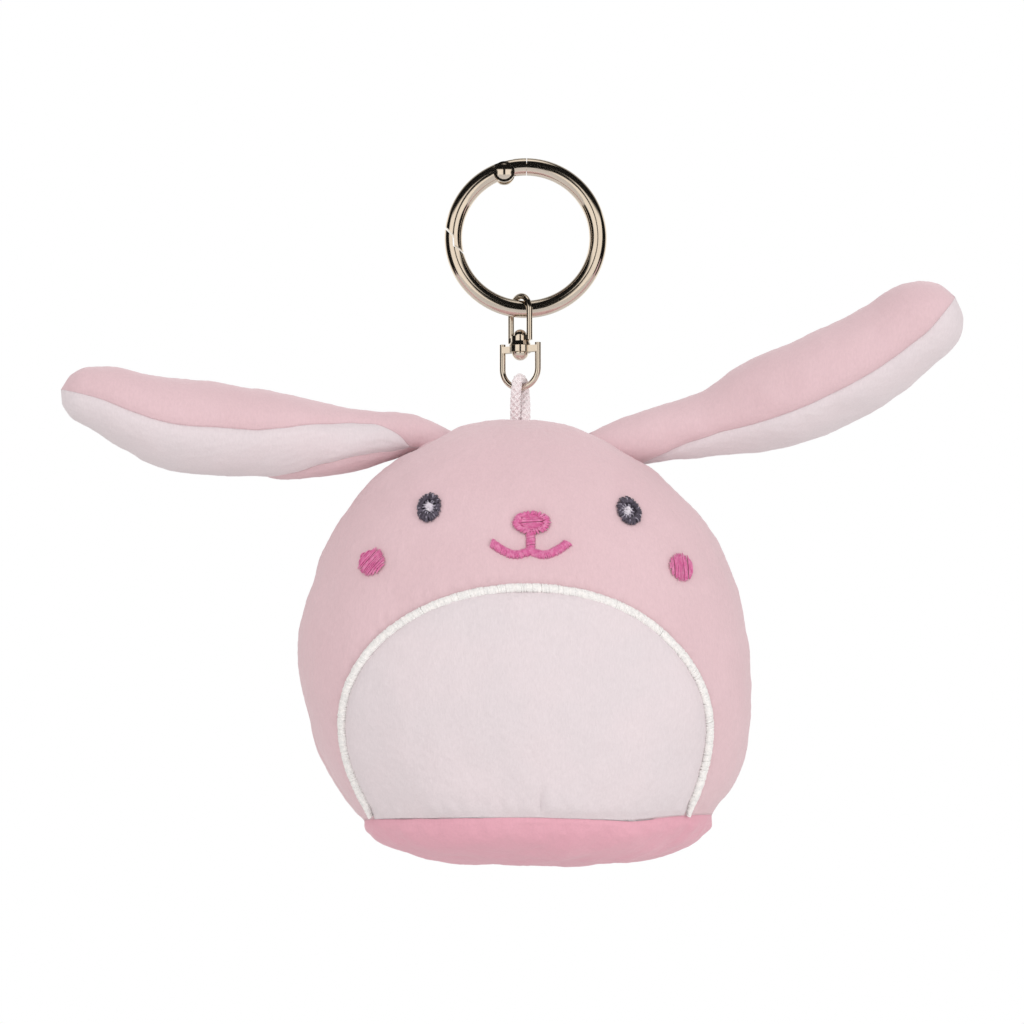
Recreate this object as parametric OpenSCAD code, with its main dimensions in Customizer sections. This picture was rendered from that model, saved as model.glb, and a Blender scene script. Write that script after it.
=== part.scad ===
// Plush rabbit on a spring gate ring: ring, swivel, cord loop, stuffed body and ears.
// Millimetres. The origin is the centre of the ring, +Z is up and the face looks along -Y.
// The plush hangs straight below the ring.

/* [Gate ring] */
// Radius of the ring, to the middle of its wire
ring_r = 14.6; // [14.4:0.1:15]
// Diameter of the ring's wire
ring_wire = 3.5; // [3.3:0.1:3.6]
// Angle of the gate's hinge pin, from +X towards +Z
hinge_angle = 108; // [106:1:110]
// Angle at which the gate ends on the outside of the ring
gate_lip_angle = 172; // [170:1:173]
// Angle at which the gate ends on the inside of the ring
gate_nose_angle = 193; // [192:1:194]

/* [Swivel] */
// Diameter of the wire of the bail and the yoke
swivel_wire = 1.2; // [1:0.1:1.3]
// Distance between the bail's legs
bail_span = 6.4; // [6.3:0.1:6.8]
// Turn of the bail about the vertical, away from square across the ring
bail_turn = 35; // [0:1:36]
// How far the swivel and the cord hang to the side of the ring's middle
swivel_x = -1.1; // [-1.2:0.1:0]
// Distance between the yoke's arms
yoke_span = 7.8; // [7.4:0.1:8.4]
// Turn of the yoke about the vertical
yoke_turn = -25; // [-30:1:30]

/* [Cord] */
// Diameter of the cord
cord_d = 2.1; // [1.8:0.1:2.1]

/* [Body] */
// Width of the body
body_width = 90.6; // [90:0.2:91]
// Front to back depth of the body, as a share of its width
depth_ratio = 0.7; // [0.68:0.01:0.74]
// Height of the body's crown
crown_z = -37; // [-37.2:0.1:-36.8]
// Height at which the body is widest
waist_z = -87.4; // [-88:0.2:-87]
// Height of the seam round the base
seam_z = -118; // [-118.4:0.2:-117.6]
// How far the base panel bulges below its seam
base_bulge = 8; // [7:0.5:9]
// Turn of the body about the vertical, away from facing straight ahead
body_turn = 2; // [0:1:4]
// Thickness of the pile fabric
skin = 1.2; // [1:0.1:1.4]

/* [Belly] */
// Width of the belly patch
belly_width = 73; // [70:1:75]
// Height of the belly patch where it is widest
belly_wide_z = -100; // [-102:1:-98]
// Height of the top of the belly patch
belly_top_z = -72; // [-73:1:-71]
// Thickness of the belly patch
belly_skin = 0.8; // [0.6:0.1:1]
// Diameter of the raised stitching round the belly patch
border_d = 1.8; // [1.4:0.1:2]

/* [Ears] */
// Widest part of an ear, edge to edge
ear_width = 23; // [22:0.5:24]
// Thickness of a stuffed ear
ear_thickness = 18; // [16:0.5:18.5]
// Roll of the left ear about its own length
left_roll = 5; // [0:1:10]
// Roll of the right ear about its own length
right_roll = 20; // [14:1:24]

/* [Hidden] */
$fn = 48;

pink = "#e0c0c6";
deep_pink = "#d69fab";
ivory = "#e6d9da";
nickel = "#c9bfb2";
thread_rose = "#cf6f9f";
thread_plum = "#5b5060";
thread_white = "#f2eef0";
wadding = "#f4f4f2";

// Ring: where its pieces meet
wire_r = ring_wire / 2;
block_angle = 89.5;
block_end_angle = 99;
block_gap_angle = 0.5;
overlap_angle = 1;
seam_gap = 0.3;
lip_slope = -50;
nose_slope = -34;
cut_gap = 0.4;
cut_from_angle = 165;
cut_to_angle = 200;
gate_root_angle = 113;
pin_r = 0.7;
pin_clearance = 0.05;
pin_head_r = 1.6;
pin_head_h = 0.5;
pivot_r = 14;
pivot = [pivot_r * cos(hinge_angle), pivot_r * sin(hinge_angle)];
lug_r = 2.1;
tongue_half = 0.65;
lug_gap = 0.1;
fork_depth = 3.2;
spigot_r = 0.9;
spigot_root = 0.4;
spigot_l = 2.5;

// Ring: the spring and plunger that close the gate
plunger_r = 0.5;
plunger_drop = 0.5;
plunger_start = 1.75;
plunger_play = 0.05;
plunger_l = 0.9;
bore_start = 1;
bore_l = 3.4;
spring_wire_r = 0.1;
spring_turns = 4;

// Swivel: heights of its pieces
bail_top_z = -12.55;
bail_centre_z = bail_top_z - bail_span / 2 + swivel_wire / 2;
strap_z = -20.2;
strap_h = 1;
barrel_r = 2.2;
barrel_taper = 0.3;
barrel_z = -22;
rivet_r = 0.8;
rivet_clearance = 0.06;
overcut = 1;
head_gap = 0.1;
upper_head_r = 1.35;
upper_head_h = 1.5;
crossbar_top_z = -22.1;
crossbar_h = 1.3;
eye_r = 2.1;
lower_head_r = 1.65;
lower_head_h = 1.5;
arm_top_z = -21.6;
yoke_bottom_z = -30.6;

// Cord: its route from one sewn end to the other, over the yoke's wire
cord_route = [
    [-1.1, 0, -46], [-1.1, 0, -42], [-1.1, 0, -38], [-1.1, -0.3, -36], [-1.05, -1, -34],
    [-0.9, -1.5, -32], [-0.75, -1.6, -30.6], [-0.55, -1.15, -29.3], [0, 0, -28.75],
    [0.55, 1.15, -29.3], [0.75, 1.6, -30.6], [0.9, 1.5, -32], [1.05, 1, -34],
    [1.1, 0.3, -36], [1.1, 0, -38], [1.1, 0, -42], [1.1, 0, -46]
];
cord_steps = 2;
cord_sides = 8;
cord_hole_w = 3.5;
cord_across = [cos(yoke_turn), sin(yoke_turn), 0.02];
channel_clearance = 0.3;
channel_l = 12;

// Body: the ellipsoid that its panels follow
half_w = body_width / 2;
crown_h = crown_z - waist_z;
lower_h = 47;
base_flat = 0.35;
wadding_gap = 0.2;
side_cols = 28;
body_rows = 20;
base_rows = 5;

// Belly patch: where its lower edge is
belly_low_z = seam_z + 1;
belly_low_half = 31;
belly_rows = 14;
belly_cols = 24;
arch_limit = 86;
border_sides = 8;
border_rise = 0.3;
border_steps = 18;
belly_gap = 0.05;
// A direction near to the one that the front faces, for tubes that lie on it
facing = [0, 1, 0.02];

// Ears: their middle lines and the seam between the two panels of each
left_line = [[-20.5, 0, -38.6], [-42, -1, -41.5], [-66, -5, -39.5], [-92, -9, -32]];
right_line = [[20.5, 0, -38.6], [42, -2, -36], [62, -6, -29], [87.5, -11, -13.5]];
ear_rows = 14;
ear_cols = 12;
ear_root = 0.26;
ear_swell_end = 0.55;
ear_tip = 0.985;
ear_skin = 1;

// Embroidery on the face: half widths and half heights, and where each piece sits
stitch_h = 0.5;
stitch_sink = 0.5;
patch_sides = 16;
eye_x = 19.3;
eye_z = -57.4;
eye_size = [2.4, 3.1];
eye_tilt = 15;
glint_size = [0.8, 0.8];
glint_rise = 0.3;
glint_sink = -0.3;
left_glint = [-19.4, -57.4];
right_glint = [18.7, -58];
nose_z = -60.6;
nose_size = [3.7, 2.4];
cheek_x = 30;
cheek_z = -68.6;
cheek_size = [2.6, 2.6];
mouth_r = 0.8;
mouth_z = -67;
mouth_off = 0.1;
lip_half = 7.9;
lip_rise = 2.9;
lip_low = 0.27;
lip_dip = 0.7;
lip_points = 10;
// The profile of a patch of stitching: shares of its size and of its height
patch_profile = [[0.5, 0], [1, 0], [1, 0.8], [0.8, 1], [0.4, 1]];

// ---- General shapes ----

// Turns a drawing in X and Y upright, so that its Y runs up along Z and its Z towards the front
module upright() {
    rotate([90, 0, 0]) children();
}

// A stretch of the ring, swept from one angle to another, of the wire's cross section
module ring_arc(from, to) {
    rotate_extrude(angle = to - from, start = from)
        intersection() {
            translate([ring_r, 0]) circle(r = wire_r);
            children();
        }
}

module whole_section() {
    translate([ring_r - wire_r, -wire_r]) square(ring_wire);
}

module inner_half() {
    translate([ring_r - wire_r, -wire_r]) square([wire_r - seam_gap / 2, ring_wire]);
}

module outer_half() {
    translate([ring_r + seam_gap / 2, -wire_r]) square([wire_r, ring_wire]);
}

// One side of a slanted cut across the ring: the gate's with from = 0, the body's below -ring_r
module cut_side(r, angle, slope, from) {
    translate([r * cos(angle), r * sin(angle), -ring_wire])
        rotate(slope)
            translate([-ring_r, from, 0])
                cube([2 * ring_r, ring_r, 2 * ring_wire]);
}

// The two cuts slant the way that the gate's end travels, so that it slides clear as it opens
module lip_side(from) {
    cut_side(ring_r + wire_r, gate_lip_angle, lip_slope, from);
}

module nose_side(from) {
    cut_side(ring_r - wire_r, gate_nose_angle, nose_slope, from);
}

// The domed head of a rivet: a cap of a sphere, standing on z = 0
module dome(r, h) {
    ball_r = (r * r + h * h) / (2 * h);
    rotate_extrude()
        intersection() {
            translate([0, h - ball_r]) circle(r = ball_r);
            square([r, h]);
        }
}

function cell(rows, cols, i, j) = i * cols + j;

// Two triangles across one cell of a grid of points that has cols columns
function cell_faces(base, cols, i, j, k) = [
    [base + cell(0, cols, i, j), base + cell(0, cols, i + 1, j), base + cell(0, cols, i + 1, k)],
    [base + cell(0, cols, i, j), base + cell(0, cols, i + 1, k), base + cell(0, cols, i, k)]
];

function flip(faces) = [for (f = faces) [f[0], f[2], f[1]]];

// A closed solid through a list of rings that each have the same number of points
module loft(rings, inside_out = false) {
    n = len(rings[0]);
    last = len(rings) - 1;
    points = concat([for (r = rings) each r], [mean(rings[0]), mean(rings[last])]);
    low = len(points) - 2;
    sides = [for (i = [0 : last - 1], j = [0 : n - 1]) each cell_faces(0, n, i, j, (j + 1) % n)];
    ends = [
        for (j = [0 : n - 1])
            each [[low, j, (j + 1) % n], [low + 1, last * n + (j + 1) % n, last * n + j]]
    ];
    faces = concat(sides, ends);
    polyhedron(points = points, faces = inside_out ? flip(faces) : faces, convexity = 6);
}

function mean(points) = [for (a = [0 : 2]) sum([for (p = points) p[a]]) / len(points)];

function sum(list) = list * [for (v = list) 1];

// A curved sheet between an outer and an inner grid of points
module sheet(outer, inner, inside_out = false) {
    rows = len(outer);
    cols = len(outer[0]);
    count = rows * cols;
    points = concat([for (r = outer) each r], [for (r = inner) each r]);
    skin_faces = [
        for (i = [0 : rows - 2], j = [0 : cols - 2])
            each concat(cell_faces(0, cols, i, j, j + 1), flip(cell_faces(count, cols, i, j, j + 1)))
    ];
    rim = concat(
        [for (j = [0 : cols - 1]) j],
        [for (i = [1 : rows - 1]) cell(0, cols, i, cols - 1)],
        [for (j = [cols - 2 : -1 : 0]) cell(0, cols, rows - 1, j)],
        [for (i = [rows - 2 : -1 : 1]) cell(0, cols, i, 0)]
    );
    rim_faces = [
        for (k = [0 : len(rim) - 1])
            let (a = rim[k], b = rim[(k + 1) % len(rim)])
                each [[a, b, b + count], [a, b + count, a + count]]
    ];
    faces = concat(skin_faces, rim_faces);
    polyhedron(points = points, faces = inside_out ? flip(faces) : faces, convexity = 6);
}

function unit(v) = v / norm(v);

// A point on the smooth curve through a list of points, where t runs from 0 to its last index
function along(route, t) =
    let (
        last = len(route) - 1,
        i = min(floor(t), last - 1),
        u = t - i,
        a = route[max(i - 1, 0)],
        b = route[i],
        c = route[i + 1],
        d = route[min(i + 2, last)]
    )
    b + u * (c - a) / 2
        + u * u * (a - 2.5 * b + 2 * c - d / 2)
        + u * u * u * (1.5 * b - 1.5 * c + (d - a) / 2);

// Rings of a tube along a curve; across is a direction that the curve never takes
function tube_rings(curve, r, sides, across) = [
    for (i = [0 : len(curve) - 1])
        let (
            ahead = unit(curve[min(i + 1, len(curve) - 1)] - curve[max(i - 1, 0)]),
            u = unit(cross(ahead, across)),
            v = cross(ahead, u)
        )
        [for (j = [0 : sides - 1]) curve[i] + r * (cos(360 * j / sides) * u + sin(360 * j / sides) * v)]
];

// ---- Gate ring ----

module ring_body() {
    body_from = -ring_r - cut_gap;
    color(nickel)
        upright() {
            difference() {
                ring_arc(cut_to_angle - 360, block_angle - block_gap_angle) whole_section();
                block_spigot(spigot_r);
            }
            intersection() {
                ring_arc(cut_from_angle, cut_to_angle) outer_half();
                lip_side(body_from);
            }
            intersection() {
                ring_arc(cut_from_angle, cut_to_angle) whole_section();
                nose_side(body_from);
            }
        }
}

// The straight peg by which the hinge block is pressed into the ring's end
module block_spigot(r) {
    rotate(block_angle)
        translate([ring_r, spigot_root, 0])
            rotate([90, 0, 0])
                cylinder(r = r, h = spigot_l);
}

module pivot_disc(r, low, high) {
    translate([pivot[0], pivot[1], low]) cylinder(r = r, h = high - low);
}

// The bore that holds the spring and the plunger, along the block from the pivot
module plunger_bore(r, from, to) {
    translate(pivot)
        rotate(hinge_angle - 90)
            translate([from, -plunger_drop, 0])
                rotate([0, 90, 0])
                    cylinder(r = r, h = to - from);
}

module hinge_block() {
    color(nickel)
        upright()
            difference() {
                union() {
                    ring_arc(block_angle, block_end_angle) whole_section();
                    block_spigot(spigot_r);
                    intersection() {
                        union() {
                            ring_arc(block_end_angle, gate_root_angle) whole_section();
                            pivot_disc(lug_r, -wire_r, wire_r);
                        }
                        union() {
                            pivot_disc(lug_r, -wire_r, wire_r);
                            rotate(block_end_angle - overlap_angle)
                                translate([ring_r - ring_wire, 0, -wire_r])
                                    cube([2 * ring_wire, fork_depth, ring_wire]);
                        }
                    }
                }
                pivot_disc(lug_r + lug_gap, -tongue_half - lug_gap, tongue_half + lug_gap);
                pivot_disc(pin_r, -ring_wire, ring_wire);
                rotate(block_end_angle)
                    translate([ring_r - ring_wire, 0, -tongue_half - lug_gap])
                        cube([2 * ring_wire, 2 * ring_wire, 2 * (tongue_half + lug_gap)]);
                plunger_bore(plunger_r + pin_clearance, bore_start, plunger_start + bore_l);
            }
}

module ring_gate() {
    color(nickel)
        upright()
            difference() {
                union() {
                    ring_arc(gate_root_angle, cut_from_angle) whole_section();
                    intersection() {
                        ring_arc(cut_from_angle, cut_to_angle) whole_section();
                        lip_side(0);
                    }
                    intersection() {
                        ring_arc(cut_from_angle, cut_to_angle) inner_half();
                        nose_side(0);
                    }
                    intersection() {
                        union() {
                            ring_arc(hinge_angle, gate_root_angle + overlap_angle) whole_section();
                            pivot_disc(plunger_start - plunger_play, -tongue_half, tongue_half);
                        }
                        translate([-ring_r, 0, -tongue_half]) cube([2 * ring_r, 2 * ring_r, 2 * tongue_half]);
                    }
                }
                difference() {
                    pivot_disc(lug_r + lug_gap, -ring_wire, ring_wire);
                    translate([-ring_r, 0, -tongue_half]) cube([2 * ring_r, 2 * ring_r, 2 * tongue_half]);
                }
                pivot_disc(pin_r + pin_clearance, -ring_wire, ring_wire);
            }
}

module gate_pin() {
    color(nickel)
        upright() {
            pivot_disc(pin_r, -wire_r, wire_r);
            translate([pivot[0], pivot[1], wire_r]) dome(pin_head_r, pin_head_h);
            translate([pivot[0], pivot[1], -wire_r]) mirror([0, 0, 1]) dome(pin_head_r, pin_head_h);
        }
}

module gate_plunger() {
    color("silver")
        upright()
            plunger_bore(plunger_r, plunger_start, plunger_start + plunger_l);
}

// The coil spring between the plunger and the blind end of its bore
module gate_spring() {
    coil_r = plunger_r - spring_wire_r - pin_clearance;
    first = plunger_start + plunger_l + spring_wire_r;
    length = bore_l - plunger_l - 2 * spring_wire_r;
    steps = 10;
    curve = [
        for (i = [0 : spring_turns * steps])
            [
                first + length * i / (spring_turns * steps),
                coil_r * cos(360 * i / steps),
                coil_r * sin(360 * i / steps)
            ]
    ];
    color("gray")
        upright()
            translate(pivot)
                rotate(hinge_angle - 90)
                    translate([0, -plunger_drop, 0])
                        loft(tube_rings(curve, spring_wire_r, 6, [1, 0, 0]));
}

// ---- Swivel ----

module leg(x, low, high) {
    translate([x, 0, low]) cylinder(d = swivel_wire, h = high - low);
}

module swivel_bail() {
    color(nickel)
        translate([swivel_x, 0, 0]) rotate(bail_turn - 90)
            difference() {
                union() {
                    translate([0, 0, bail_centre_z])
                        upright()
                            rotate_extrude(angle = 180)
                                translate([bail_span / 2, 0]) circle(d = swivel_wire);
                    for (x = [-bail_span / 2, bail_span / 2])
                        leg(x, strap_z - strap_h, bail_centre_z);
                    translate([-bail_span / 2, -swivel_wire / 2, strap_z - strap_h])
                        cube([bail_span, swivel_wire, strap_h]);
                    translate([0, 0, strap_z - strap_h]) cylinder(r = barrel_r - barrel_taper, h = strap_h);
                    translate([0, 0, barrel_z])
                        cylinder(
                            r1 = barrel_r,
                            r2 = barrel_r - barrel_taper,
                            h = strap_z - strap_h - barrel_z
                        );
                }
                translate([0, 0, barrel_z - overcut])
                    cylinder(r = rivet_r, h = strap_z - barrel_z + 2 * overcut);
            }
}

module swivel_rivet() {
    low = crossbar_top_z - crossbar_h - head_gap;
    color(nickel)
        translate([swivel_x, 0, 0]) {
            translate([0, 0, low]) cylinder(r = rivet_r, h = strap_z - low);
            translate([0, 0, strap_z]) dome(upper_head_r, upper_head_h);
            translate([0, 0, low]) mirror([0, 0, 1]) dome(lower_head_r, lower_head_h);
        }
}

module swivel_yoke() {
    bend_r = yoke_span / 2;
    color(nickel)
        translate([swivel_x, 0, 0]) rotate(yoke_turn)
            difference() {
                union() {
                    translate([0, 0, yoke_bottom_z + bend_r])
                        upright()
                            rotate_extrude(angle = 180, start = 180)
                                translate([bend_r, 0]) circle(d = swivel_wire);
                    for (x = [-bend_r, bend_r])
                        leg(x, yoke_bottom_z + bend_r, arm_top_z);
                    translate([-bend_r, -swivel_wire / 2, crossbar_top_z - crossbar_h])
                        cube([yoke_span, swivel_wire, crossbar_h]);
                    translate([0, 0, crossbar_top_z - crossbar_h]) cylinder(r = eye_r, h = crossbar_h);
                }
                translate([0, 0, crossbar_top_z - crossbar_h - overcut])
                    cylinder(r = rivet_r + rivet_clearance, h = crossbar_h + 2 * overcut);
            }
}

// ---- Cord ----

module cord_loop() {
    spans = len(cord_route) - 1;
    curve = [for (i = [0 : spans * cord_steps]) along(cord_route, i / cord_steps)];
    color(thread_white)
        translate([swivel_x, 0, 0]) loft(tube_rings(curve, cord_d / 2, cord_sides, cord_across));
}

// ---- Body ----

// The lowest and highest latitudes of the side panels, for a surface moved out by off
function low_latitude(off) = -asin((waist_z - seam_z) / (lower_h + off));

function high_latitude(off) = acos(cord_hole_w / (half_w + off));

function body_point(azimuth, latitude, off) = [
    (half_w + off) * cos(latitude) * cos(azimuth),
    (half_w * depth_ratio + off) * cos(latitude) * sin(azimuth),
    waist_z + ((latitude > 0 ? crown_h : lower_h) + off) * sin(latitude)
];

// Rows of points from the base seam to the crown, between two azimuths
function body_grid(from, to, cols, off) = [
    for (i = [0 : body_rows])
        let (latitude = low_latitude(off) + (high_latitude(off) - low_latitude(off)) * i / body_rows)
            [for (j = [0 : cols]) body_point(from + (to - from) * j / cols, latitude, off)]
];

// Rings of the bulging base, from the seam down to its flat middle
function base_rings(off) = [
    for (i = [0 : base_rows])
        let (
            t = 90 * i / base_rows,
            share = base_flat + (1 - base_flat) * cos(t),
            w = share * (half_w + off) * cos(low_latitude(off)),
            d = share * (half_w * depth_ratio + off) * cos(low_latitude(off))
        )
        [
            for (j = [0 : 2 * side_cols - 1])
                let (a = 180 * j / side_cols)
                    [w * cos(a), d * sin(a), seam_z - (base_bulge + off) * sin(t)]
        ]
];

module body_frame() {
    rotate(body_turn) children();
}

module side_panel(from) {
    body_frame()
        sheet(
            body_grid(from, from + 180, side_cols, 0),
            body_grid(from, from + 180, side_cols, -skin),
            true
        );
}

module body_front() {
    color(pink) side_panel(180);
}

module body_back() {
    color(pink) side_panel(0);
}

module base_panel() {
    inner = base_rings(-skin);
    rings = concat([for (i = [base_rows : -1 : 0]) inner[i]], base_rings(0));
    color(deep_pink) body_frame() loft(rings, true);
}

module body_stuffing() {
    off = -skin - wadding_gap;
    sides = body_grid(0, 360 - 180 / side_cols, 2 * side_cols - 1, off);
    base = base_rings(off);
    rings = concat([for (i = [base_rows : -1 : 1]) base[i]], sides);
    color(wadding)
        difference() {
            body_frame() loft(rings, true);
            for (end = [cord_route[0], cord_route[len(cord_route) - 1]])
                translate([swivel_x, 0, -channel_clearance] + end)
                    cylinder(d = cord_d + channel_clearance, h = channel_l);
        }
}

// A point on the front of the body, moved out by off, at a given x and height
function front_point(x, z, off) =
    let (
        h = z > waist_z ? crown_h : lower_h,
        w = half_w * sqrt(1 - pow((z - waist_z) / h, 2)),
        a = asin(x / w)
    )
    [(w + off) * sin(a), -(w * depth_ratio + off) * cos(a), z];

// Half the patch's width and its height, where t runs from 0 at the base to 2 at the top
function belly_edge(t) =
    t < 1
        ? [
            belly_low_half + (belly_width / 2 - belly_low_half) * sin(90 * t),
            belly_low_z + (belly_wide_z - belly_low_z) * t
        ]
        : [
            belly_width / 2 * cos(arch_limit * (t - 1)),
            belly_wide_z + (belly_top_z - belly_wide_z) * sin(arch_limit * (t - 1))
        ];

function belly_grid(off) = [
    for (i = [0 : belly_rows])
        let (edge = belly_edge(2 * i / belly_rows))
            [for (j = [0 : belly_cols]) front_point(edge[0] * (1 - 2 * j / belly_cols), edge[1], off)]
];

module belly_patch() {
    color(ivory) body_frame() sheet(belly_grid(belly_skin), belly_grid(belly_gap));
}

module belly_border() {
    left = [
        for (i = [0 : border_steps])
            let (edge = belly_edge(2 * i / border_steps))
                front_point(-edge[0], edge[1], border_rise)
    ];
    right = [
        for (i = [border_steps : -1 : 0])
            let (edge = belly_edge(2 * i / border_steps))
                front_point(edge[0], edge[1], border_rise)
    ];
    color(thread_white)
        body_frame() loft(tube_rings(concat(left, right), border_d / 2, border_sides, facing));
}

// ---- Ears ----

// A point on the middle line of an ear, by its four guide points
function ear_middle(line, s) =
    pow(1 - s, 3) * line[0]
        + 3 * s * pow(1 - s, 2) * line[1]
        + 3 * s * s * (1 - s) * line[2]
        + pow(s, 3) * line[3];

function ear_ahead(line, s) = unit(ear_middle(line, min(s + 0.01, 1)) - ear_middle(line, max(s - 0.01, 0)));

// The ear's size at s, as a share of its largest: slim at the root and rounded at the tip
function ear_share(s) =
    s < ear_swell_end
        ? ear_root + (1 - ear_root) * sin(90 * s / ear_swell_end)
        : sqrt(1 - pow((s - ear_swell_end) / (1 - ear_swell_end), 2.6));

// A point of the ear's cross section; azimuth 0 is its front edge and 90 its upper side
function ear_point(line, roll, s, azimuth, off) =
    let (
        ahead = ear_ahead(line, s),
        down = [0, -cos(roll), -sin(roll)],
        across = unit(down - (down * ahead) * ahead),
        up = -sign(line[3][0]) * cross(ahead, across),
        w = max(ear_width / 2 * ear_share(s) + off, 0.4),
        t = max(ear_thickness / 2 * ear_share(s) + off, 0.4)
    )
    ear_middle(line, s) + w * cos(azimuth) * across + t * sin(azimuth) * up;

function ear_grid(line, roll, from, to, cols, off) = [
    for (i = [0 : ear_rows])
        let (s = ear_tip * sin(90 * i / ear_rows))
            [for (j = [0 : cols]) ear_point(line, roll, s, from + (to - from) * j / cols, off)]
];

module ear_panel(line, roll, from) {
    sheet(
        ear_grid(line, roll, from, from + 180, ear_cols, 0),
        ear_grid(line, roll, from, from + 180, ear_cols, -ear_skin),
        line[3][0] > 0
    );
}

module ear_core(line, roll) {
    last = 2 * ear_cols - 1;
    loft(ear_grid(line, roll, 0, 360 - 360 / (last + 1), last, -ear_skin - wadding_gap), line[3][0] > 0);
}

module left_ear_outer() {
    color(pink) ear_panel(left_line, left_roll, 0);
}

module left_ear_lining() {
    color(ivory) ear_panel(left_line, left_roll, 180);
}

module left_ear_stuffing() {
    color(wadding) ear_core(left_line, left_roll);
}

module right_ear_outer() {
    color(pink) ear_panel(right_line, right_roll, 0);
}

module right_ear_lining() {
    color(ivory) ear_panel(right_line, right_roll, 180);
}

module right_ear_stuffing() {
    color(wadding) ear_core(right_line, right_roll);
}

// ---- Face ----

// A low oval of stitching on the front of the body, tilted by an angle
module stitched_oval(x, z, size, tilt, rise, sink) {
    rings = [
        for (p = patch_profile)
            [
                for (j = [0 : patch_sides - 1])
                    let (
                        a = 360 * j / patch_sides,
                        u = size[0] * p[0] * cos(a),
                        v = size[1] * p[0] * sin(a),
                        off = (rise + sink) * p[1] - sink
                    )
                    front_point(x + u * cos(tilt) - v * sin(tilt), z + u * sin(tilt) + v * cos(tilt), off)
            ]
    ];
    body_frame() loft(rings, true);
}

module left_eye() {
    color(thread_plum) stitched_oval(-eye_x, eye_z, eye_size, -eye_tilt, stitch_h, stitch_sink);
}

module right_eye() {
    color(thread_plum) stitched_oval(eye_x, eye_z, eye_size, eye_tilt, stitch_h, stitch_sink);
}

module left_eye_glint() {
    color(thread_white)
        stitched_oval(left_glint[0], left_glint[1], glint_size, 0, stitch_h + glint_rise, glint_sink);
}

module right_eye_glint() {
    color(thread_white)
        stitched_oval(right_glint[0], right_glint[1], glint_size, 0, stitch_h + glint_rise, glint_sink);
}

module nose() {
    color(thread_rose) stitched_oval(0, nose_z, nose_size, 0, stitch_h, stitch_sink);
}

module left_cheek() {
    color(thread_rose) stitched_oval(-cheek_x, cheek_z, cheek_size, 0, stitch_h, stitch_sink);
}

module right_cheek() {
    color(thread_rose) stitched_oval(cheek_x, cheek_z, cheek_size, 0, stitch_h, stitch_sink);
}

// How high the lips are above their lowest point, where t runs from 0 in the middle to 1 at their ends
function lip_height(t) =
    t > lip_low
        ? lip_rise * pow((t - lip_low) / (1 - lip_low), 1.6)
        : lip_dip * pow(1 - t / lip_low, 2);

// Two curved lips, and the upright line of stitching that joins them to the nose
module mouth() {
    lips = [
        for (i = [-lip_points : lip_points])
            let (t = i / lip_points)
                front_point(lip_half * t, mouth_z + lip_height(abs(t)), mouth_off)
    ];
    line_top = nose_z - nose_size[1] - 0.2;
    line_low = mouth_z + lip_dip;
    line = [for (i = [0 : 3]) front_point(0, line_low + (line_top - line_low) * i / 3, mouth_off)];
    color(thread_rose)
        body_frame() {
            loft(tube_rings(lips, mouth_r, 8, facing));
            loft(tube_rings(line, mouth_r, 8, facing));
        }
}

ring_body();
hinge_block();
ring_gate();
gate_pin();
gate_plunger();
gate_spring();
swivel_bail();
swivel_rivet();
swivel_yoke();
cord_loop();
body_front();
body_back();
base_panel();
belly_patch();
belly_border();
body_stuffing();
left_ear_outer();
left_ear_lining();
left_ear_stuffing();
right_ear_outer();
right_ear_lining();
right_ear_stuffing();
left_eye();
right_eye();
left_eye_glint();
right_eye_glint();
nose();
mouth();
left_cheek();
right_cheek();
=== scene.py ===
"""A stuffed rabbit that hangs by a cord and a swivel from a gate ring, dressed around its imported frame.
Lengths are millimetres until a mesh is made, where MM turns them into metres."""

import math

import bmesh
import bpy
import numpy as np
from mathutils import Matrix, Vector
from mathutils.bvhtree import BVHTree


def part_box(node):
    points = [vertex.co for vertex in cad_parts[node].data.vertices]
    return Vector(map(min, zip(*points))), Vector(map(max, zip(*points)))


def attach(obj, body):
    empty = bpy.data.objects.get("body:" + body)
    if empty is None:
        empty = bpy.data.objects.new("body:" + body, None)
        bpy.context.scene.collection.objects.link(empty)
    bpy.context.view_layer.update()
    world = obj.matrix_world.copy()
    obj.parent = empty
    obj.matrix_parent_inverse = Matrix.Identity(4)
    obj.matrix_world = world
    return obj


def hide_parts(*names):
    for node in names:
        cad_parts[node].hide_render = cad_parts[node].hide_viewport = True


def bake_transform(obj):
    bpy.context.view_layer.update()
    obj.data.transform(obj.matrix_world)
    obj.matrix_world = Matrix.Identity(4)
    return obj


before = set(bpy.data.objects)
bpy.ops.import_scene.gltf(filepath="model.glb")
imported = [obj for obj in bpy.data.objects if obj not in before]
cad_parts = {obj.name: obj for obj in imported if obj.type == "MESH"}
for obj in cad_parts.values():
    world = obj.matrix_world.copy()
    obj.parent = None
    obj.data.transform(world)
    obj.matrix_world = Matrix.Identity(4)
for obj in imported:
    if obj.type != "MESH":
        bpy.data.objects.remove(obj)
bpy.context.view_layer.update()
MM = 0.001
scene = bpy.context.scene


# ---------------------------------------------------------------- the frame's own sizes

def box_mm(node):
    """Lowest and highest corner of a CAD node, in millimetres."""
    low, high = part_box(node)
    return np.array(low) / MM, np.array(high) / MM


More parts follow.
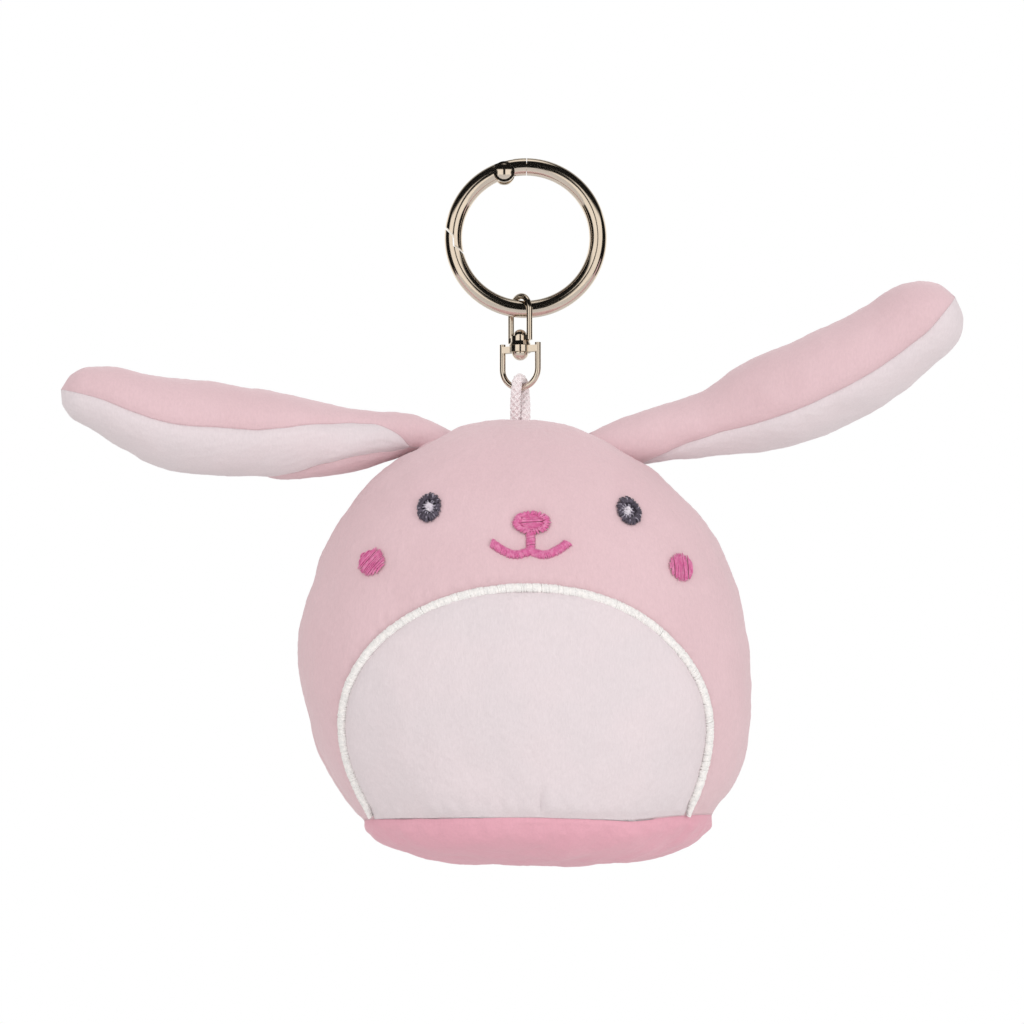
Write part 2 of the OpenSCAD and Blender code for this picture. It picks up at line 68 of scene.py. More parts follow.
FRONT_LOW, FRONT_HIGH = box_mm("body_front")
BACK_HIGH = box_mm("body_back")[1]
HALF_W = (FRONT_HIGH[0] - FRONT_LOW[0]) / 2
HALF_D = BACK_HIGH[1] - 0.1
CROWN_Z = FRONT_HIGH[2]
SEAM_Z = FRONT_LOW[2]
BASE_Z = box_mm("base_panel")[0][2]
SWIVEL_X = np.mean([corner[0] for corner in box_mm("swivel_rivet")])
WAIST_Z = -87.4
LOWER_H = 48.2
BODY_TURN = math.radians(2)
SKIN = 1.1


# ---------------------------------------------------------------- camera and stage

VIEW_DISTANCE = 0.8
VIEW_RISE = math.radians(7)
AIM = Vector((-0.00276, 0, -0.0557))


def make_camera():
    ahead = Vector((0, math.cos(VIEW_RISE), math.sin(VIEW_RISE)))
    data = bpy.data.cameras.new("camera")
    data.sensor_width = 36
    data.lens = 140.6
    data.clip_end = 20
    camera = bpy.data.objects.new("camera", data)
    camera.location = AIM - ahead * VIEW_DISTANCE
    camera.rotation_mode = "QUATERNION"
    camera.rotation_quaternion = ahead.to_track_quat("-Z", "Y")
    scene.collection.objects.link(camera)
    scene.camera = camera


make_camera()


# ---------------------------------------------------------------- materials

def linear(red, green, blue):
    """A colour given as 0 to 255, as the linear values that shaders use."""
    values = [c / 255 for c in (red, green, blue)]
    return [c / 12.92 if c <= 0.04045 else ((c + 0.055) / 1.055) ** 2.4 for c in values] + [1]


def shade(colour, factor):
    return [min(1, c * factor) for c in colour[:3]] + [1]


class Shader:
    """A material with one Principled shader, and short names for its nodes."""

    def __init__(self, name):
        self.material = bpy.data.materials.new(name)
        self.material.use_nodes = True
        self.tree = self.material.node_tree
        self.surface = self.tree.nodes["Principled BSDF"]
        self.place = self.add("ShaderNodeTexCoord").outputs["Object"]

    def add(self, kind, **settings):
        node = self.tree.nodes.new(kind)
        for key, value in settings.items():
            setattr(node, key, value)
        return node

    def link(self, source, target):
        self.tree.links.new(source, target)

    def set(self, **sockets):
        for key, value in sockets.items():
            self.surface.inputs[key.replace("_", " ")].default_value = value

    def stretched(self, scale):
        node = self.add("ShaderNodeMapping")
        node.inputs["Scale"].default_value = scale
        self.link(self.place, node.inputs["Vector"])
        return node.outputs["Vector"]

    def noise(self, size_mm, detail=3, rough=0.55, stretch=(1, 1, 1)):
        """Noise whose blotches are about size_mm across."""
        node = self.add("ShaderNodeTexNoise")
        node.inputs["Scale"].default_value = 1000 / size_mm
        node.inputs["Detail"].default_value = detail
        node.inputs["Roughness"].default_value = rough
        self.link(self.stretched(stretch), node.inputs["Vector"])
        return node.outputs["Fac"]

    def mix(self, factor, first, second):
        """A mix of two colours or colour outputs."""
        node = self.add("ShaderNodeMix", data_type="RGBA")
        self.link(factor, node.inputs["Factor"])
        for name, value in (("A", first), ("B", second)):
            socket = next(s for s in node.inputs if s.name == name and s.type == "RGBA")
            if isinstance(value, list):
                socket.default_value = value
            else:
                self.link(value, socket)
        return next(s for s in node.outputs if s.type == "RGBA")

    def spread(self, source, low, high, to_low=0.0, to_high=1.0):
        node = self.add("ShaderNodeMapRange")
        for name, value in zip(("From Min", "From Max", "To Min", "To Max"), (low, high, to_low, to_high)):
            node.inputs[name].default_value = value
        self.link(source, node.inputs["Value"])
        return node.outputs["Result"]

    def bump(self, height, depth_mm, strength=1.0, under=None):
        node = self.add("ShaderNodeBump")
        node.inputs["Distance"].default_value = depth_mm * MM
        node.inputs["Strength"].default_value = strength
        self.link(height, node.inputs["Height"])
        if under is not None:
            self.link(under, node.inputs["Normal"])
        return node.outputs["Normal"]


def pile_material(name, colour, blush):
    """Short brushed pile: soft blotches where it is stroked, fibres along the nap, and sheen at its edges."""
    s = Shader(name)
    patches = s.spread(s.noise(13, 2), 0.35, 0.65)
    tone = s.mix(patches, shade(colour, 0.975), blush)
    fibres = s.spread(s.noise(0.55, 4, 0.7, (1.6, 1.6, 0.5)), 0.3, 0.7)
    fine = s.mix(fibres, shade(colour, 0.9), shade(colour, 1.06))
    both = s.add("ShaderNodeMix", data_type="RGBA", blend_type="MIX")
    both.inputs["Factor"].default_value = 0.5
    sockets = [k for k in both.inputs if k.type == "RGBA"]
    s.link(tone, sockets[0])
    s.link(fine, sockets[1])
    s.link(next(k for k in both.outputs if k.type == "RGBA"), s.surface.inputs["Base Color"])
    s.set(Roughness=1.0, Sheen_Weight=0.35, Sheen_Roughness=0.45)
    s.set(**{"Specular IOR Level": 0.15})
    s.surface.inputs["Sheen Tint"].default_value = (1, 0.97, 0.97, 1)
    soft = s.bump(s.noise(3.2, 3, 0.6), 0.22, 0.5)
    nap = s.bump(s.noise(0.5, 4, 0.75, (1.5, 1.5, 0.6)), 0.12, 0.75, soft)
    s.link(nap, s.surface.inputs["Normal"])
    return s.material


def thread_material(name, colour, light, gloss=0.5):
    """Twisted rayon thread: fine diagonal plies with painted shade in the grooves between them, lighter where
    threads lie looser, and a silky highlight.
    """
    s = Shader(name)
    plies = s.noise(0.16, 2, 0.5, (1, 1, 2.2))
    loose = s.spread(s.noise(0.8, 3, 0.7), 0.42, 0.66)
    # painted shade: the plies noise that sinks the bump also darkens the colour there, lighter on the raised
    # plies
    ply_groove_shaded = s.mix(s.spread(plies, 0.3, 0.7), shade(colour, 0.75), shade(colour, 1.2))
    tone = s.mix(loose, ply_groove_shaded, light)
    s.link(tone, s.surface.inputs["Base Color"])
    s.set(Roughness=gloss, Sheen_Weight=0.2)
    s.set(**{"Specular IOR Level": 0.5})
    s.link(s.bump(plies, 0.03, 0.6), s.surface.inputs["Normal"])
    return s.material


def cord_material(name, colour):
    """Braided polyester: filaments along each strand, with painted shade in the grooves between them."""
    s = Shader(name)
    filaments = s.noise(0.14, 3, 0.6, (1, 1, 0.4))
    # painted shade: the filament noise that sinks the bump also darkens the colour there, down to 0.84
    tone = s.mix(s.spread(filaments, 0.3, 0.7), shade(colour, 0.84), shade(colour, 1.05))
    s.link(tone, s.surface.inputs["Base Color"])
    s.set(Roughness=0.6, Sheen_Weight=0.25)
    s.link(s.bump(filaments, 0.04, 0.7), s.surface.inputs["Normal"])
    return s.material


def metal_material(name, colour, roughness, wear_mm=6.0):
    """Plated metal: faint clouding, hairline scratches and a slightly uneven polish."""
    s = Shader(name)
    clouds = s.spread(s.noise(wear_mm, 4, 0.6), 0.3, 0.7)
    tone = s.mix(clouds, shade(colour, 0.93), shade(colour, 1.04))
    s.link(tone, s.surface.inputs["Base Color"])
    s.set(Metallic=1.0)
    hairs = s.noise(0.9, 5, 0.75, (1, 1, 6))
    s.link(s.spread(hairs, 0.25, 0.8, roughness * 0.6, roughness * 1.7), s.surface.inputs["Roughness"])
    polish = s.bump(s.noise(3.4, 1, 0.4), 0.012, 0.3)
    s.link(s.bump(hairs, 0.0003, 0.1, polish), s.surface.inputs["Normal"])
    return s.material


PINK = pile_material("pink_pile", linear(219, 188, 193), linear(221, 191, 196))
DEEP_PINK = pile_material("deep_pink_pile", linear(223, 165, 179), linear(226, 170, 183))
WHITE = pile_material("white_pile", linear(221, 210, 213), linear(224, 210, 213))
WHITE_THREAD = thread_material("white_thread", linear(240, 235, 233), linear(248, 244, 241))
GLINT_THREAD = thread_material("glint_thread", linear(206, 196, 208), linear(236, 230, 236), 0.42)
PLUM_THREAD = thread_material("plum_thread", linear(60, 52, 66), linear(98, 90, 106), 0.42)
GREY_THREAD = thread_material("grey_thread", linear(140, 132, 148), linear(172, 164, 178), 0.42)
ROSE_THREAD = thread_material("rose_thread", linear(212, 98, 154), linear(224, 138, 178), 0.42)
CORD = cord_material("braid", linear(246, 236, 237))
NICKEL = metal_material("nickel", linear(226, 214, 200), 0.1)
STEEL = metal_material("spring_steel", linear(190, 190, 192), 0.25)


# ---------------------------------------------------------------- meshes

def turned(points):
    """Points of the body's own frame in the row frame: the body is turned a little about the vertical."""
    points = np.asarray(points, float)
    c, s = math.cos(BODY_TURN), math.sin(BODY_TURN)
    x, y = points[..., 0], points[..., 1]
    return np.stack([c * x - s * y, s * x + c * y, points[..., 2]], axis=-1)


def add_mesh(name, points, faces, material, closed=False):
    mesh = bpy.data.meshes.new(name)
    mesh.from_pydata((np.asarray(points, float).reshape(-1, 3) * MM).tolist(), [], faces)
    if closed:
        bm = bmesh.new()
        bm.from_mesh(mesh)
        bmesh.ops.recalc_face_normals(bm, faces=bm.faces)
        bm.to_mesh(mesh)
        bm.free()
    mesh.materials.append(material)
    mesh.polygons.foreach_set("use_smooth", [True] * len(mesh.polygons))
    piece = bpy.data.objects.new(name, mesh)
    scene.collection.objects.link(piece)
    return piece


def grid_faces(rows, cols, start=0, wrap=False):
    """Quads over a grid of points that lies row by row from index start."""
    i, j = np.meshgrid(np.arange(rows - 1), np.arange(cols if wrap else cols - 1), indexing="ij")
    k = (j + 1) % cols
    quads = np.stack([i * cols + j, i * cols + k, (i + 1) * cols + k, (i + 1) * cols + j], axis=-1)
    return (quads.reshape(-1, 4) + start).tolist()


def shell(name, outer, inner, material):
    """A closed piece of fabric between an outer and an inner grid of points."""
    rows, cols = outer.shape[:2]
    count = rows * cols
    rim = [j for j in range(cols)]
    rim += [i * cols + cols - 1 for i in range(1, rows)]
    rim += [(rows - 1) * cols + j for j in range(cols - 2, -1, -1)]
    rim += [i * cols for i in range(rows - 2, 0, -1)]
    faces = grid_faces(rows, cols) + [f[::-1] for f in grid_faces(rows, cols, count)]
    faces += [[a, b, b + count, a + count] for a, b in zip(rim, rim[1:] + rim[:1])]
    points = np.concatenate([outer.reshape(-1, 3), inner.reshape(-1, 3)])
    return add_mesh(name, points, faces, material, closed=True)


def smoothed(values, factor, axis, closed=False):
    """Points between a grid's own points, on the smooth curves through them."""
    v = np.moveaxis(np.asarray(values, float), axis, 0)
    if closed:
        pad = np.concatenate([v[-1:], v, v[:2]])
        spans = len(v)
    else:
        pad = np.concatenate([2 * v[:1] - v[1:2], v, 2 * v[-1:] - v[-2:-1]])
        spans = len(v) - 1
    a, b, c, d = (pad[k:k + spans, None] for k in range(4))
    t = (np.arange(factor) / factor).reshape([1, factor] + [1] * (v.ndim - 1))
    fine = b + t * (c - a) / 2 + t**2 * (a - 2.5 * b + 2 * c - d / 2) + t**3 * (1.5 * (b - c) + (d - a) / 2)
    fine = fine.reshape((spans * factor,) + v.shape[1:])
    if not closed:
        fine = np.concatenate([fine, v[-1:]])
    return np.moveaxis(fine, 0, axis)


def unit(v):
    return v / np.maximum(np.linalg.norm(v, axis=-1, keepdims=True), 1e-9)


def tube_normals(tube, outward_from):
    """Unit normals of a grid whose last column is followed by its first one."""
    padded = np.concatenate([tube[:, -1:], tube, tube[:, :1]], axis=1)
    return grid_normals(padded, outward_from)[:, 1:-1]


def grid_normals(grid, outward_from):
    """Unit normals of a grid of points, pointing away from a middle point or from a line of them."""
    normals = unit(np.cross(np.gradient(grid, axis=1), np.gradient(grid, axis=0)))
    side = np.sum(normals * (grid - outward_from), axis=-1, keepdims=True)
    return normals * np.sign(np.median(side))


def waves(points, wavelength, seed, count=24):
    """Smooth random relief, about -1 to 1, with bumps about wavelength apart."""
    draw = np.random.default_rng(seed)
    directions = unit(draw.normal(size=(count, 3)))
    rates = directions * (2 * math.pi / wavelength * draw.uniform(0.7, 1.3, (count, 1)))
    phases = draw.uniform(0, 2 * math.pi, count)
    return np.sin(points @ rates.T + phases).sum(-1) * math.sqrt(2 / count) / 1.4


def bell(distance, width):
    return np.exp(-(np.asarray(distance) / width) ** 2)


CLOTH_SCALE = 10
CLOTH_FRAMES = 20


def inflate(points, faces, pinned, pressure, cap):
    """The points of a closed cover after it is blown up from within, moved by at most about cap."""
    mesh = bpy.data.meshes.new("cover")
    mesh.from_pydata((points * MM * CLOTH_SCALE).tolist(), [], faces)
    cover = bpy.data.objects.new("cover", mesh)
    scene.collection.objects.link(cover)
    group = cover.vertex_groups.new(name="pinned")
    group.add([int(k) for k in pinned], 1.0, "REPLACE")
    cloth = cover.modifiers.new("cloth", "CLOTH")
    cloth.settings.quality = 6
    cloth.settings.mass = 0.3
    cloth.settings.tension_stiffness = 12
    cloth.settings.compression_stiffness = 12
    cloth.settings.shear_stiffness = 6
    cloth.settings.bending_stiffness = 1.5
    cloth.settings.use_pressure = True
    cloth.settings.uniform_pressure_force = pressure
    cloth.settings.vertex_group_mass = "pinned"
    cloth.settings.effector_weights.gravity = 0
    cloth.collision_settings.use_collision = False
    cloth.point_cache.frame_end = CLOTH_FRAMES
    for step in range(1, CLOTH_FRAMES + 1):
        scene.frame_set(step)
    result = cover.evaluated_get(bpy.context.evaluated_depsgraph_get()).to_mesh()
    blown = np.array([v.co for v in result.vertices]) / (MM * CLOTH_SCALE)
    bpy.data.objects.remove(cover)
    scene.frame_set(1)
    move = blown - points
    length = np.maximum(np.linalg.norm(move, axis=1, keepdims=True), 1e-9)
    return points + move / length * cap * np.tanh(length / cap)


class Threads:
    """Many short round threads that end up as one mesh."""

    def __init__(self):
        self.points, self.faces, self.count = [], [], 0

    def lay(self, line, normals, radius, sides=6):
        """One thread along a line of points, whose ends are rounded down."""
        line, normals = np.asarray(line, float), np.asarray(normals, float)
        ahead = unit(np.gradient(line, axis=0))
        across = unit(np.cross(ahead, normals))
        above = np.cross(across, ahead)
        ends = np.ones(len(line))
        ends[0] = ends[-1] = 0.55
        turn = 2 * math.pi * np.arange(sides) / sides
        rings = line[:, None] + (radius * ends)[:, None, None] * (
            np.cos(turn)[None, :, None] * across[:, None] + np.sin(turn)[None, :, None] * above[:, None]
        )
        self.points.append(rings.reshape(-1, 3))
        self.faces += grid_faces(len(line), sides, self.count, wrap=True)
        last = self.count + (len(line) - 1) * sides
        self.faces.append([self.count + k for k in range(sides)][::-1])
        self.faces.append([last + k for k in range(sides)])
        self.count += len(line) * sides

    def piece(self, name, material, slot):
        return add_mesh(name, turned(np.concatenate(self.points)), self.faces, material, closed=True)


# ---------------------------------------------------------------- cord

# The cord's route under the swivel, from one sewn end to the other, over the yoke's wire
CORD_ROUTE = np.array([SWIVEL_X, 0, 0]) + np.array([
    [-1.0, 0, -46], [-1.0, 0, -42], [-1.0, 0, -38], [-1.0, -0.3, -36], [-1.0, -1, -34],
    [-0.9, -1.5, -32], [-0.75, -1.6, -30.6], [-0.55, -1.15, -29.3], [0, 0, -28.75],
    [0.55, 1.15, -29.3], [0.75, 1.6, -30.6], [0.9, 1.5, -32], [1.0, 1, -34],
    [1.0, 0.3, -36], [1.0, 0, -38], [1.0, 0, -42], [1.0, 0, -46],
])
STRANDS = 8
BRAID_PITCH = 5.6
STRAND_R = 0.3
BRAID_R = 0.7
YOKE_TURN = math.radians(-25)


def make_cord():
    middle = smoothed(CORD_ROUTE, 12, 0)
    steps = np.linalg.norm(np.diff(middle, axis=0), axis=1)
    run = np.concatenate([[0], np.cumsum(steps)])
    ahead = unit(np.gradient(middle, axis=0))
    side = np.array([math.cos(YOKE_TURN), math.sin(YOKE_TURN), 0.02])
    across = unit(np.cross(ahead, side))
    above = np.cross(ahead, across)
    braid = Threads()
    braid.lay(middle, above, BRAID_R, 10)
    for k in range(STRANDS):
        way = 1 if k % 2 else -1
        turn = way * 2 * math.pi * run / BRAID_PITCH + 2 * math.pi * (k // 2) / (STRANDS / 2)
        lift = 0.13 * way * np.cos(STRANDS / 2 * turn)
        out = np.cos(turn)[:, None] * across + np.sin(turn)[:, None] * above
        braid.lay(middle + (BRAID_R + lift)[:, None] * out, out, STRAND_R)
    points = np.concatenate(braid.points)
    cord = add_mesh("braided_cord", points, braid.faces, CORD, closed=True)
    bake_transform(cord)
    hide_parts("cord_loop")


make_cord()


# ---------------------------------------------------------------- body

COLS = 96
ROWS = 40
BASE_ROWS = 14
BASE_SAG = 0.4
# How square the base is in outline (lower is fuller), and how much of the cloth's movement it takes
BASE_FULLNESS = 0.68
BASE_GIVE = 0.3
FINE = 5
CROWN_LATITUDE = math.radians(89.6)


def lean(z):
    """How far the body's middle leans sideways at a height: its top to the left, its foot to the right."""
    heights = [-125, -122, -118, -112, -104, -96, -88, -80, -72, -62, -50, CROWN_Z]
    return np.interp(z, heights, [3.0, 2.7, 2.5, 2.1, 1.2, 0.9, -0.3, -0.9, -0.4, -0.3, -1.5, -1.9])


def seam_wave(x):
    """The base seam's rise and fall from the left corner to the right one."""
    return np.interp(x / 35, [-1, -0.6, 0, 0.5, 0.75, 1], [0.4, 0, 0.1, -0.5, 0.7, 1.6])


def body_rough():
    """The body before it is blown up: side rows from the seam to the crown, then rings of the base."""
    azimuth = 2 * math.pi * np.arange(COLS) / COLS
    low = -math.asin((WAIST_Z - SEAM_Z) / LOWER_H)
    latitude = np.linspace(low, CROWN_LATITUDE, ROWS + 1)
    height = np.where(latitude > 0, CROWN_Z - WAIST_Z, LOWER_H)
    z = WAIST_Z + height * np.sin(latitude)
    side = np.stack([
        HALF_W * np.cos(latitude)[:, None] * np.cos(azimuth),
        HALF_D * np.cos(latitude)[:, None] * np.sin(azimuth),
        np.repeat(z[:, None], COLS, axis=1),
    ], axis=-1)
    t = np.linspace(0, math.pi / 2, BASE_ROWS + 1)[1:]
    share = np.maximum(np.cos(t), 0) ** BASE_FULLNESS
    base = np.stack([
        share[:, None] * side[0, :, 0],
        share[:, None] * side[0, :, 1],
        np.repeat((SEAM_Z - (SEAM_Z + BASE_SAG - BASE_Z) * np.sin(t))[:, None], COLS, axis=1),
    ], axis=-1)
    for grid in (side, base):
        near_seam = bell(grid[..., 2] - SEAM_Z, 9)
        grid[..., 2] += near_seam * seam_wave(grid[..., 0])
        grid[..., 0] += lean(grid[..., 2])
    return side, base


def body_blown():
    side, base = body_rough()
    points = np.concatenate([side.reshape(-1, 3), base.reshape(-1, 3)])
    faces = grid_faces(ROWS + 1, COLS, wrap=True)
    start = (ROWS + 1) * COLS
    faces += grid_faces(BASE_ROWS, COLS, start, wrap=True)
    faces += [[(j + 1) % COLS, j, start + j, start + (j + 1) % COLS] for j in range(COLS)]
    faces.append([ROWS * COLS + j for j in range(COLS)])
    faces.append([start + (BASE_ROWS - 1) * COLS + j for j in range(COLS)][::-1])
    seams = [j for j in range(COLS)] + [ROWS * COLS + j for j in range(COLS)]
    seams += [i * COLS + j for i in range(ROWS) for j in (0, COLS // 2)]
    blown = inflate(points, faces, seams, 1.6, 1.4)
    give = np.where(np.arange(len(points)) < start, 1, BASE_GIVE)[:, None]
    points = points + give * (blown - points)
    side = points[:start].reshape(ROWS + 1, COLS, 3)
    base = np.concatenate([side[:1], points[start:].reshape(BASE_ROWS, COLS, 3)])
    return side, base


side_grid, base_grid = body_blown()
side_fine = smoothed(smoothed(side_grid, FINE, 1, closed=True), 4, 0)
base_fine = smoothed(smoothed(base_grid, FINE, 1, closed=True), 4, 0)
HALF_COLS = COLS * FINE // 2
CENTRE = np.array([0, 0, WAIST_Z])


def along_axis(grid, axis):
    """Distance from a grid's first row or column to each of its points, measured over the surface."""
    steps = np.linalg.norm(np.diff(grid, axis=axis), axis=-1)
    zero = np.zeros_like(np.take(steps, [0], axis=axis))
    return np.concatenate([zero, np.cumsum(steps, axis=axis)], axis=axis)


def edge_distance(grid):
    run = along_axis(grid, 1)
    return np.minimum(run, run[:, -1:] - run)


def surface_tree(outer):
    rows, cols = outer.shape[:2]
    return BVHTree.FromPolygons(outer.reshape(-1, 3).tolist(), grid_faces(rows, cols))


class Surface:
    """The front of the body, for placing what is sewn on it."""

    def __init__(self, grid):
        self.tree = surface_tree(grid)

    def at(self, x, z, off=0.0):
        """The point off millimetres outside the surface at x and z, and the surface's normal there."""
        place, normal, _, _ = self.tree.ray_cast(Vector((x, -90, z)), Vector((0, 1, 0)))
        if place is None:
            place, normal, _, _ = self.tree.find_nearest(Vector((x, -8, z)))
        if normal.y > 0:
            normal = -normal
        return np.array(place + normal * off), np.array(normal)

    def line(self, xs, zs, offs):
        found = [self.at(x, z, off) for x, z, off in zip(xs, zs, offs)]
        return np.array([f[0] for f in found]), np.array([f[1] for f in found])


# Belly patch: half its width and its height, from its foot to its top
BELLY_HALF = 35.5
BELLY_WIDE_Z = -100
BELLY_TOP_Z = -74.2
BELLY_FOOT_HALF = 30
ARCH_LIMIT = math.radians(89)


def belly_middle(z):
    return np.interp(z, [SEAM_Z, -108, -92, -84, BELLY_TOP_Z], [0.3, -0.4, -1.0, -1.2, -0.7])


def belly_edge(t):
    """Half width and height of the belly patch; t runs from 0 at its foot to 2 at its top."""
    t = np.asarray(t, float)
    foot = SEAM_Z + 0.1
    low = np.clip(t, 0, 1)
    high = ARCH_LIMIT * np.clip(t - 1, 0, 1)
    half = np.where(
        t < 1,
        BELLY_FOOT_HALF + (BELLY_HALF - BELLY_FOOT_HALF) * np.sin(low * math.pi / 2),
        BELLY_HALF * np.cos(high) ** 0.96,
    )
    above = BELLY_WIDE_Z + (BELLY_TOP_Z - BELLY_WIDE_Z) * np.sin(high)
    z = np.where(t < 1, foot + (BELLY_WIDE_Z - foot) * low, above)
    return half, z


# Face: where each piece of stitching is, and half its size
LEFT_EYE, RIGHT_EYE = (-19.6, -57.7), (19.2, -58.1)
EYE_SIZE = (2.35, 3.1)
LEFT_EYE_TILT, RIGHT_EYE_TILT = math.radians(-14), math.radians(26)
NOSE, NOSE_SIZE = (0.1, -61.1), (3.75, 2.35)
LEFT_CHEEK, RIGHT_CHEEK = (-30.6, -68.2), (29.4, -69)
CHEEK_SIZE = (2.5, 2.9)
LIP_HALF = 7.4
LIP_LOW_Z = -67.5
MOUTH_X, MOUTH_Z = -0.3, -65.6

front_plain = side_fine[:, HALF_COLS:]
front_plain = np.concatenate([front_plain, side_fine[:, :1]], axis=1)
back_plain = side_fine[:, :HALF_COLS + 1]
plain = Surface(front_plain)

arch_half, arch_z = belly_edge(np.linspace(0, 2, 140))
arch_z = np.concatenate([arch_z, arch_z[::-1]])
arch_x = np.concatenate([-arch_half, arch_half[::-1]]) + belly_middle(arch_z)
arch_line = plain.line(arch_x, arch_z, np.zeros(len(arch_x)))[0]


def distance_to_line(points, line):
    flat = points.reshape(-1, 3)
    best = np.full(len(flat), 1e9)
    for p in line:
        best = np.minimum(best, ((flat - p) ** 2).sum(1))
    return np.sqrt(best).reshape(points.shape[:-1])


EAR_ROOTS = [np.array([-20.5, 0, -40]), np.array([21.5, 0, -42])]
SEAM_DEPTH = 0.5
SEAM_REACH = 1.5
side_normals = tube_normals(side_fine, CENTRE)
seam_inward = unit(side_normals[0] + tube_normals(base_fine, CENTRE)[0])


def drawn_in(normals, relief, run, seam):
    """A panel's normals and relief, drawn in at the base seam just as the panel it is sewn to."""
    near = bell(run, SEAM_REACH)
    return unit(normals + (seam - normals) * near[..., None]), relief * (1 - near) - SEAM_DEPTH * near


def side_relief(grid, front):
    """How far each point of a side panel stands out from its plain surface."""
    x, z = grid[..., 0], grid[..., 2]
    edges = edge_distance(grid)
    foot = along_axis(grid, 0)
    top = foot[-1:] - foot
    relief = 0.25 * waves(grid, 19, 11) + 0.07 * waves(grid, 7, 12)
    relief += 0.035 * waves(grid, 1.9, 13) + 0.02 * waves(grid, 1.1, 14)
    relief -= 0.8 * bell(edges, 0.9) + 0.5 * bell(edges, 2.6)
    relief -= 0.3 * bell(foot, 3.2)
    pucker = 0.14 * np.cos(2 * math.pi * x / 3.7 + 1.4 * waves(grid, 12, 15))
    relief += pucker * bell(foot - 2.6, 1.6)
    relief -= 0.5 * bell(top, 2)
    for root in EAR_ROOTS:
        relief -= 1.2 * bell(np.linalg.norm(grid - root, axis=-1) - 5.2, 1.6)
    if not front:
        return relief
    away = distance_to_line(grid, arch_line)
    relief -= 0.5 * bell(away, 1.6)
    across = np.abs(x - belly_middle(z)) / BELLY_HALF
    up = (z - BELLY_WIDE_Z) / (BELLY_TOP_Z - BELLY_WIDE_Z)
    inside = across ** 2 + up ** 2 < 1
    angle = np.arctan2(z - BELLY_WIDE_Z, x)
    ripple = 0.16 * np.sin(angle * 62 + 1.8 * waves(grid, 9, 16)) * bell(away - 2.2, 1.5)
    relief += np.where(inside, 0, ripple)
    for (cx, cz), reach in (
        (LEFT_EYE, 3.2), (RIGHT_EYE, 3.2), (NOSE, 4.2),
        (LEFT_CHEEK, 3.4), (RIGHT_CHEEK, 3.4), ((MOUTH_X, MOUTH_Z), 5.0),
    ):
        relief -= 0.55 * bell(np.hypot(x - cx, z - cz), reach)
    pull = bell(x - 1.9, 0.9) * np.clip(1 - (z - SEAM_Z) / 9, 0, 1)
    relief -= 0.9 * pull
    return relief


def body_panel(name, grid, front, normals, seam, nodes):
    normals, relief = drawn_in(normals, side_relief(grid, front), along_axis(grid, 0), seam)
    outer = grid + normals * relief[..., None]
    piece = shell(name, turned(outer), turned(outer - normals * SKIN), PINK)
    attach(piece, "plush")
    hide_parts(*nodes)
    return outer


front_normals = np.concatenate([side_normals[:, HALF_COLS:], side_normals[:, :1]], axis=1)
front_seam = np.concatenate([seam_inward[HALF_COLS:], seam_inward[:1]])
front_nodes = ["body_front", "body_stuffing"]
front_outer = body_panel("front_panel", front_plain, True, front_normals, front_seam, front_nodes)
back_half = slice(0, HALF_COLS + 1)
body_panel("back_panel", back_plain, False, side_normals[:, back_half], seam_inward[back_half], ["body_back"])
face = Surface(front_outer)


def make_base():
    grid = np.concatenate([base_fine, base_fine[:, :1]], axis=1)
    normals = grid_normals(grid, CENTRE)
    rim = along_axis(grid, 0)
    relief = 0.25 * waves(grid, 16, 21) + 0.12 * waves(grid, 6, 22) + 0.03 * waves(grid, 1.8, 23)
    relief -= 0.3 * bell(rim, 3.2)
    relief += 0.15 * np.cos(2 * math.pi * grid[..., 0] / 4.1 + waves(grid, 12, 24)) * bell(rim - 2.4, 1.5)
    seam = np.concatenate([seam_inward, seam_inward[:1]])
    normals, relief = drawn_in(normals, relief, rim, seam)
    normals[-1] = (0, 0, -1)
    outer = grid + normals * relief[..., None]
    outer[:, -1] = outer[:, 0]
    piece = shell("base", turned(outer), turned(outer - normals * SKIN), DEEP_PINK)
    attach(piece, "plush")
    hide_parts("base_panel")


make_base()


# ---------------------------------------------------------------- belly

BELLY_ROWS = 110
BELLY_COLS = 150


def make_belly():
    outer = np.zeros((BELLY_ROWS + 1, BELLY_COLS + 1, 3))
    inner = np.zeros_like(outer)
    for i in range(BELLY_ROWS + 1):
        half, z = belly_edge(2 * i / BELLY_ROWS)
        u = np.linspace(-1, 1, BELLY_COLS + 1)
        xs = belly_middle(float(z)) + float(half) * u
        foot = max(0, 1 - i / 30) ** 2
        zs = float(z) + foot * seam_wave(xs)
        points, normals = face.line(xs, zs, np.zeros(len(xs)))
        side = float(half) * (1 - np.abs(u))
        top = np.full(len(xs), abs(BELLY_TOP_Z - float(z)))
        edge = np.minimum(np.minimum(side, top), float(z) - SEAM_Z)
        rise = 0.1 + 0.55 * (1 - bell(edge, 1.3))
        rise += 0.06 * waves(points, 8, 31) + 0.03 * waves(points, 1.7, 32)
        outer[i] = points + normals * rise[:, None]
        inner[i] = points - normals * 0.3
    piece = shell("belly", turned(outer), turned(inner), WHITE)
    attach(piece, "plush")
    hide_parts("belly_patch")


make_belly()


def averaged(values, reach):
    """Each row as the mean of the rows up to reach places away from it."""
    before, after = np.repeat(values[:1], reach, axis=0), np.repeat(values[-1:], reach, axis=0)
    padded = np.concatenate([before, values, after])
    return np.mean([padded[k:k + len(values)] for k in range(2 * reach + 1)], axis=0)


